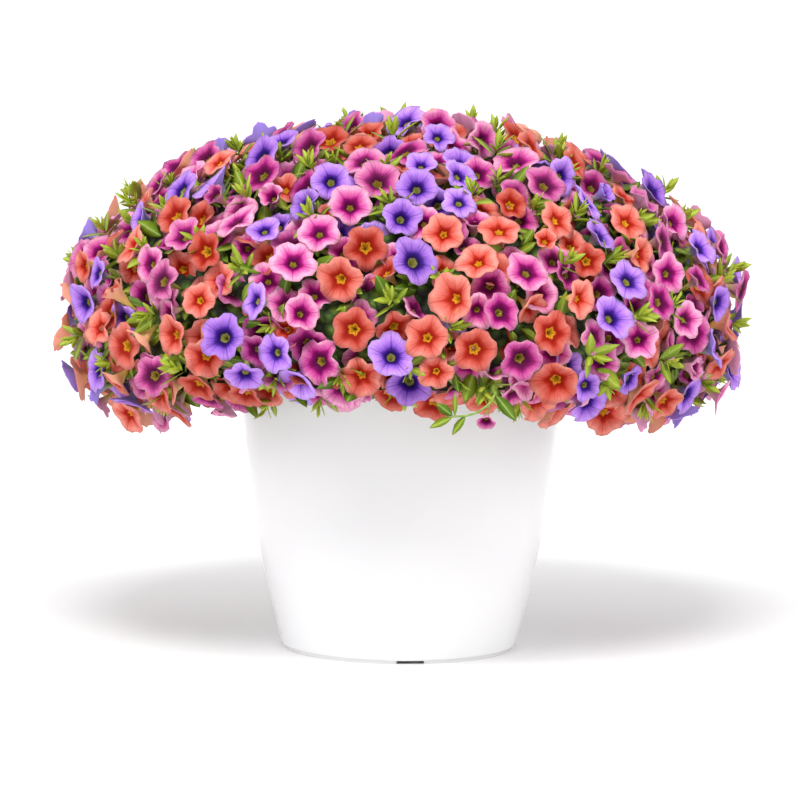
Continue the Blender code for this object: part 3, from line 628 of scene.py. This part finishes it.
# Every old leaf is a cell of its own green, some 10 mm across, with painted shade where it meets the next.
thicket, surface = new_finish("twigs and old leaves with painted shade")
place = add(thicket, "TexCoord").outputs["Object"]
patch = add(thicket, "TexNoise", {"Vector": place, "Scale": 130.0, "Detail": 5.0}).outputs[0]
blades = add(thicket, "TexVoronoi", {"Vector": place, "Scale": 105.0})
# Painted shade: darker towards each cell's edge, where the leaves meet; the noise adds uneven patches.
away = maths(thicket, "MULTIPLY_ADD", patch, 0.5, blades.outputs["Distance"])
tint = add(thicket, "SeparateColor", {0: blades.outputs["Color"]}).outputs[0]
shade = maths(thicket, "SUBTRACT", maths(thicket, "MULTIPLY_ADD", tint, 0.42, 0.88), away)
set_sockets(thicket, surface, {
    "Base Color": ramp(thicket, shade, [(0.08, "101808"), (0.34, "2C4414"), (0.58, "4C6C20"),
                                        (0.85, "7C9A38")]),
    "Roughness": 0.7,
    "Normal": add(thicket, "Bump", {"Height": shade, "Distance": 0.004, "Strength": 1.0}).outputs[0],
})
quads, triangles, _, _ = ring_faces(len(rows) + len(under), THICKET_SIDES)
mass = new_piece("thicket", body, quads, triangles, thicket)
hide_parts("foliage")
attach(mass, "root")


# Leaves: lance-shaped, 6 to 28 mm long, thin and soft, with a sunk midrib. Old ones fill the thicket, and
# young yellow-green ones stand in tufts at the tips of the shoots, between and a little above the blooms.
OLD_LEAVES = 6200  # before those that would stand in front of a bloom's middle are left out
OLD_LEAVES_END = HEM + 0.004  # the way down the dome to which they go
TUFTS = 130
LEAVES_A_TUFT = 9
TUFT_TRIES = 24  # places drawn for each tuft that isn't on a shoot's site
CLEAR_BESIDE = 0.0130  # from a bloom's axis, within which no old leaf may stand
CLEAR_BEFORE = (-0.0045, 0.020)  # of its middle, likewise
OLD_WIDER = 1.4  # times, than a young leaf
LEAF_ALONG = (0.84, 0.60, 0.34, 0.12)  # places of the rings, from the root at 0 to the tip at 1
LEAF_WIDE = (0.48, 0.96, 0.92, 0.46)  # their widths, in shares of the leaf's


def leaf_points(root, way, broad, length, width, droop):
    """Points of many leaves: tip, four rings of right edge, upper midrib, left edge and lower midrib,
    and root. The blade curves down by the square of the way along it."""
    top = np.cross(way, broad)
    length, half, sag = length[:, None], width[:, None] / 2, droop[:, None]
    rings = []
    for share, wide in zip(LEAF_ALONG, LEAF_WIDE):
        middle = root + share * length * way - sag * share ** 2 * length * top
        edge = half * wide
        rings += [middle + edge * broad, middle - (0.22 * edge - 0.0003) * top,
                  middle - edge * broad, middle - (0.22 * edge + 0.0003) * top]
    tip = root + length * way - sag * length * top
    return np.stack([tip, *rings, root], 1)


def leaf_finish():
    """Leaves from deep green to fresh yellow-green by their age, with a paler midrib and faint blotches.

    The skin is a little waxy, so it catches a soft highlight."""
    made, surface = new_finish("calibrachoa leaf")
    spread = add(made, "SeparateXYZ", {0: add(made, "UVMap", uv_map="spread").outputs[0]})
    place = add(made, "TexCoord").outputs["Object"]
    young = add(made, "Attribute", attribute_name="young").outputs["Fac"]
    blotch = add(made, "TexNoise", {"Vector": place, "Scale": 260.0, "Detail": 3.0}).outputs[0]
    age = maths(made, "MULTIPLY_ADD", spread.outputs[1], 0.18, young)
    age = maths(made, "ADD", age, maths(made, "MULTIPLY_ADD", blotch, 0.24, -0.12), clamp=True)
    green = ramp(made, age, [(0.0, "33500A"), (0.35, "5A7A12"), (0.65, "82981E"), (1.0, "B0BE38")])
    rib = maths(made, "ABSOLUTE", maths(made, "SUBTRACT", spread.outputs[0], 0.5))
    rib = add(made, "MapRange", {0: rib, 1: 0.0, 2: 0.10, 3: 0.45, 4: 0.0}).outputs[0]
    set_sockets(made, surface, {
        "Base Color": blend(made, rib, green, colour("BFD27E")),
        "Roughness": maths(made, "MULTIPLY_ADD", blotch, 0.2, 0.36),
        "Specular IOR Level": 0.28,
    })
    return made


def leaf_uv():
    """Share across the blade and along it, for every corner of one leaf."""
    quads, triangles, _, _ = ring_faces(len(LEAF_ALONG), 4)
    across_share = np.array([0.5, *[1.0, 0.5, 0.0, 0.5] * len(LEAF_ALONG), 0.5])
    along_share = np.array([1.0, *np.repeat(LEAF_ALONG, 4), 0.0])
    corners = np.concatenate([quads.ravel(), triangles.ravel()])
    return np.stack([across_share[corners], along_share[corners]], 1)


rng = np.random.default_rng(74)
index = np.arange(OLD_LEAVES)
old_area = np.interp(OLD_LEAVES_END, WAY, AREA)
way = np.interp((index + 0.5) / OLD_LEAVES * old_area, AREA, WAY)
turn = index * GOLDEN + rng.normal(0, 0.02, OLD_LEAVES)
out = outward(way, turn)
aside, _ = across(out, rng.uniform(0, math.tau, OLD_LEAVES))
lean = rng.uniform(0.7, 2.4, OLD_LEAVES)[:, None]
old_root = on_dome(way, turn, rng.uniform(0.018, 0.028, OLD_LEAVES))
old_way = unit(out + lean * aside)
old_length = rng.uniform(0.014, 0.026, OLD_LEAVES)
old_young = rng.uniform(0.15, 0.75, OLD_LEAVES)
clear = np.ones(OLD_LEAVES, bool)
for share in (0.5, 0.75, 1.0):
    away = (old_root + share * old_length[:, None] * old_way)[:, None] - centre[None]
    before = (away * face[None]).sum(-1)
    beside = np.sqrt(np.clip((away ** 2).sum(-1) - before ** 2, 0, None))
    close = (beside < CLEAR_BESIDE) & (before > CLEAR_BEFORE[0]) & (before < CLEAR_BEFORE[1])
    clear &= ~close.any(1)
old_root, old_way, old_length, old_young, out = (
    part[clear] for part in (old_root, old_way, old_length, old_young, out))

# One tuft stands on each shoot's site, and the others where there is most room between blooms.
spots, tuft = site_centre[is_shoot], []
for _ in range(TUFTS - SHOOTS):
    way = np.interp(rng.uniform(0.0, HEM_AREA, TUFT_TRIES), AREA, WAY)
    turn = rng.uniform(0, math.tau, TUFT_TRIES)
    options = on_dome(way, turn, 0.0)
    room = np.linalg.norm(options[:, None] - spots[None], axis=-1).min(1)
    shade = np.linalg.norm(options[:, None] - centre[None], axis=-1).min(1)
    best = int(np.argmax(np.minimum(room, 0.05) + 2 * shade))
    spots = np.vstack([spots, options[best]])
    tuft.append((way[best], turn[best]))
tuft_way, tuft_turn = np.array(tuft).T
tuft_way = np.concatenate([site_way[is_shoot], tuft_way])
tuft_turn = np.concatenate([site_turn[is_shoot], tuft_turn])
axis = unit(outward(tuft_way, tuft_turn) + rng.normal(0, 0.22, (TUFTS, 3)) + [0, 0, 0.12])
height = rng.uniform(-0.010, 0.003, TUFTS)
height[:SHOOTS] += 0.003
tuft_top = on_dome(tuft_way, tuft_turn, 0.0) + height[:, None] * axis
index = np.arange(LEAVES_A_TUFT)
place = np.repeat(np.arange(TUFTS), LEAVES_A_TUFT)
rank = np.tile(index / (LEAVES_A_TUFT - 1), TUFTS)
aside, _ = across(axis[place], np.tile(index * GOLDEN, TUFTS) + rng.uniform(0, 0.5, len(place)))
lean = (0.2 + 1.2 * rank ** 1.5 + rng.normal(0, 0.22, len(place)))[:, None]
tuft_root = tuft_top[place] - (0.004 + 0.012 * rank)[:, None] * axis[place]
tuft_leaf = unit(axis[place] + lean * aside)
tuft_length = (0.009 + 0.012 * rank) * rng.uniform(0.7, 1.35, len(place))
tuft_young = np.clip(0.98 - 0.40 * rank + rng.normal(0, 0.08, len(place)), 0, 1)

# Five broad leaves on the sprig that hangs in front of the pot: root and tip, width and youth of each.
SPRIG_LEAVES = np.array([
    [(0.0380, -0.270, 0.2137), (0.0205, -0.273, 0.2056)],
    [(0.0474, -0.270, 0.2141), (0.0365, -0.273, 0.2015)],
    [(0.0690, -0.263, 0.2296), (0.0849, -0.272, 0.2129)],
    [(0.0395, -0.270, 0.2140), (0.0395, -0.271, 0.2313)],
    [(0.0380, -0.270, 0.2144), (0.0256, -0.272, 0.2233)],
])
SPRIG_WIDTHS = (0.0068, 0.0066, 0.0098, 0.0040, 0.0080)
SPRIG_YOUTH = (0.55, 0.50, 0.22, 0.50, 0.25)
sprig_length = np.linalg.norm(SPRIG_LEAVES[:, 1] - SPRIG_LEAVES[:, 0], axis=-1)
root = np.concatenate([old_root, tuft_root, SPRIG_LEAVES[:, 0]])
leaf_way = np.concatenate([old_way, tuft_leaf, unit(SPRIG_LEAVES[:, 1] - SPRIG_LEAVES[:, 0])])
length = np.concatenate([old_length, tuft_length, sprig_length])
young = np.concatenate([old_young, tuft_young, SPRIG_YOUTH])
above = np.concatenate([out, axis[place], np.tile([0.0, -1.0, 0.25], (len(SPRIG_LEAVES), 1))])
above = unit(above + rng.normal(0, 0.25, root.shape))
broad = unit(np.cross(above, leaf_way))
width = length * rng.uniform(0.28, 0.40, len(root))
width[:len(old_root)] *= OLD_WIDER
width[-len(SPRIG_LEAVES):] = SPRIG_WIDTHS
droop = rng.uniform(0.0, 0.30, len(root))
quads, triangles, _, _ = ring_faces(len(LEAF_ALONG), 4)
leaves = new_piece("leaves", leaf_points(root, leaf_way, broad, length, width, droop), quads, triangles,
                   leaf_finish(), len(root), leaf_uv(), {"young": young})
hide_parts("foliage")
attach(leaves, "root")


# The sprig's stems: two thin green tubes that grow out of the thicket in front. One runs out under the
# blooms and along to the sprig's leaves, and the other bends from it to the foot of the sprig's bloom.
SPRIG_STEMS = np.array([
    [(0.0640, -0.2380, 0.2340), (0.0691, -0.2620, 0.2300), (0.0640, -0.2690, 0.2225),
     (0.0556, -0.2700, 0.2166), (0.0470, -0.2700, 0.2142), (0.0375, -0.2700, 0.2138)],
    [(0.0640, -0.2690, 0.2225), (0.0643, -0.2678, 0.2222), (0.0644, -0.2658, 0.2217),
     (0.0644, -0.2632, 0.2210), (0.0643, -0.2600, 0.2202), (0.0641, -0.2572, 0.2195)],
])
STEM_SIDES = 6
STEM_RADIUS = 0.0009


def tube_points(path, radius):
    """Points of round tubes along paths, with the middle of each end as its tip."""
    way = unit(np.gradient(path, axis=1))
    side, other = across(-way, np.zeros(path.shape[:2]))
    turn = math.tau * np.arange(STEM_SIDES)[:, None] / STEM_SIDES
    ring = np.cos(turn) * side[:, :, None] + np.sin(turn) * other[:, :, None]
    body = (path[:, :, None] + radius * ring).reshape(len(path), -1, 3)
    return np.concatenate([path[:, :1], body, path[:, -1:]], 1)


# Fresh green with faint flecks, soft and a little waxy.
shoot, surface = new_finish("young green stem")
place = add(shoot, "TexCoord").outputs["Object"]
fleck = add(shoot, "TexNoise", {"Vector": place, "Scale": 300.0}).outputs[0]
set_sockets(shoot, surface, {
    "Base Color": ramp(shoot, fleck, [(0.3, "6C8F30"), (0.7, "94B44C")]),
    "Roughness": 0.5,
})
quads, triangles, _, _ = ring_faces(SPRIG_STEMS.shape[1], STEM_SIDES)
sprig = new_piece("sprig_stems", tube_points(SPRIG_STEMS, STEM_RADIUS), quads, triangles, shoot,
                  len(SPRIG_STEMS))
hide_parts("foliage")
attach(sprig, "root")


# Floor and backdrop: one sheet of white that curves up far behind the pot, so that no horizon shows. It
# is matt and almost even, so only the soft shadow can be seen on it.
sheet, surface = new_finish("white studio sheet")
place = add(sheet, "TexCoord").outputs["Object"]
drift = add(sheet, "TexNoise", {"Vector": place, "Scale": 2.0}).outputs[0]
set_sockets(sheet, surface, {
    "Base Color": ramp(sheet, drift, [(0.3, "F7F7F7"), (0.7, "FAFAFA")]),
    "Roughness": 0.9,
    "Specular IOR Level": 0.1,
})
bend = np.linspace(0, math.pi / 2, 16)
side_y = np.concatenate([[-5.0], 3.0 + 2.0 * np.sin(bend), [5.0]])
side_z = np.concatenate([[0.0], 2.0 - 2.0 * np.cos(bend), [6.0]])
line = np.stack([side_y, side_z], 1)
wide = np.array([-6.0, 6.0])
points = np.concatenate([np.stack([np.full(len(line), x), line[:, 0], line[:, 1]], 1) for x in wide])
k = np.arange(len(line) - 1)
quads = np.stack([k, k + len(line), k + len(line) + 1, k + 1], 1)
floor = new_piece("floor", points, quads, np.zeros((0, 3), int), sheet)


# Light: a soft box high in front, a weaker one from each side, one that keeps the backdrop white, and
# white air all round.
def soft_box(name, place, aim, size, power):
    """Adds a square lamp at a place, turned to a point."""
    data = bpy.data.lights.new(name, "AREA")
    data.shape = "SQUARE"
    data.size = size
    data.energy = power
    made = bpy.data.objects.new(name, data)
    bpy.context.scene.collection.objects.link(made)
    made.location = place
    way = np.array(aim, float) - np.array(place, float)
    made.rotation_euler = (math.atan2(math.hypot(way[0], way[1]), -way[2]), 0,
                           math.atan2(way[1], way[0]) - math.pi / 2)


PLANT_MIDDLE = (0, 0, 0.25)
soft_box("key", (-0.15, -2.3, 2.75), PLANT_MIDDLE, 1.0, 76)
soft_box("left", (-2.6, -0.6, 1.2), PLANT_MIDDLE, 1.4, 18)
soft_box("right", (2.6, -0.6, 1.2), PLANT_MIDDLE, 1.4, 18)
soft_box("backdrop", (0, 1.0, 2.2), (0, 5.0, 1.0), 1.6, 60)
world = bpy.data.worlds.new("studio air")
world.use_nodes = True
air = world.node_tree.nodes["Background"]
air.inputs["Color"].default_value = (1.0, 1.0, 1.0, 1.0)
air.inputs["Strength"].default_value = 0.67
bpy.context.scene.world = world
bpy.context.scene.view_settings.view_transform = "Standard"


# Camera: a long lens three metres in front of the pot and a little above the blooms. It looks down on
# them by some five degrees and is rolled by a little over half a degree, as the photo's is.
CAMERA_PLACE = (-0.0008, -3.0, 0.486)
LOOKING_DOWN = 5.45  # degrees
ROLL = 0.6  # degrees

lens = bpy.data.cameras.new("camera")
lens.lens = 168.4
lens.sensor_width = 36.0
camera = bpy.data.objects.new("camera", lens)
bpy.context.scene.collection.objects.link(camera)
rise = Matrix.Rotation(math.radians(90 - LOOKING_DOWN), 4, "X")
roll = Matrix.Rotation(math.radians(ROLL), 4, "Z")
camera.matrix_world = Matrix.Translation(CAMERA_PLACE) @ rise @ roll
lens.clip_end = 30.0
bpy.context.scene.camera = camera
